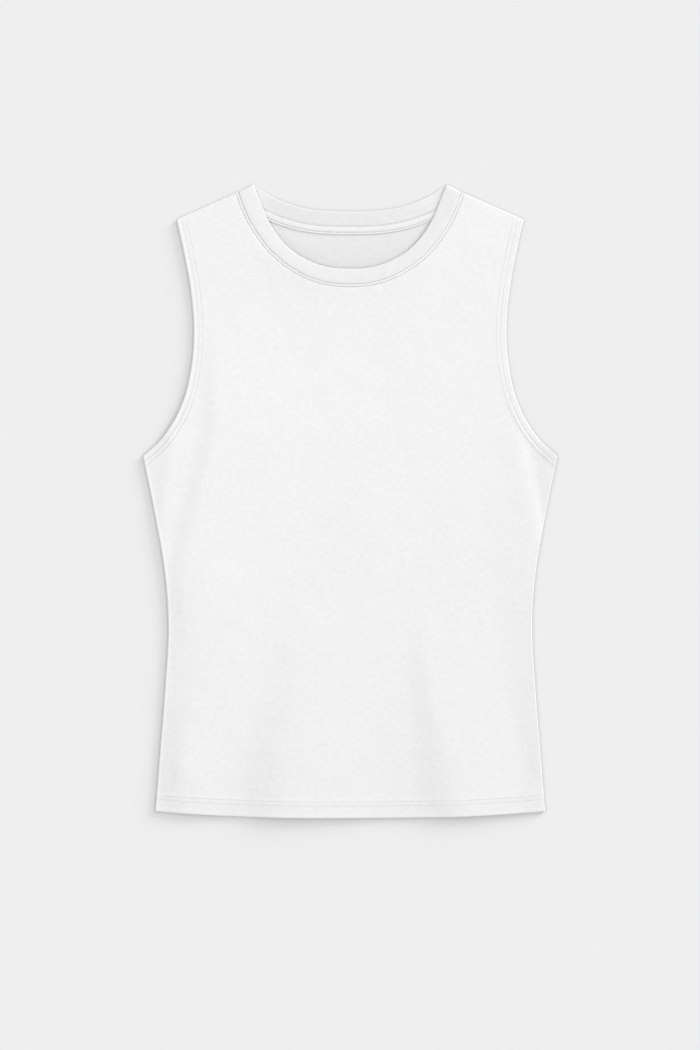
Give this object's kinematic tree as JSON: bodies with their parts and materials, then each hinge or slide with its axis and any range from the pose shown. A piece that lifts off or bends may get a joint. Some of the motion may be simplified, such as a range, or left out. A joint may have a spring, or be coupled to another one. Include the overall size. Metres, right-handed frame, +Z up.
{
  "type": "tank top",
  "caption": "Plain fitted sleeveless jersey top with a round neckband, lying flat with its front up.",
  "frame": {"origin": "on the surface that the garment lies on, under the middle of its outline", "axes": "+X across the chest to the right as seen from above, +Y from the hem towards the neck, +Z up from the surface through the back to the front"},
  "size_m": [0.4144, 0.6333, 0.0085],
  "materials": {
    "jersey_outside": "white fine jersey, matt, with a soft sheen at grazing angles",
    "jersey_inside": "wrong side of the white jersey, matt",
    "jersey_band": "white jersey folded double, matt",
    "neck_tape": "white jersey tape, matt",
    "sewing_thread": "white spun sewing thread"
  },
  "bodies": {
    "root": {"front": "jersey_outside", "back": "jersey_inside", "neckband": "jersey_band", "back_neck_tape": "neck_tape"}
  },
  "joints": []
}
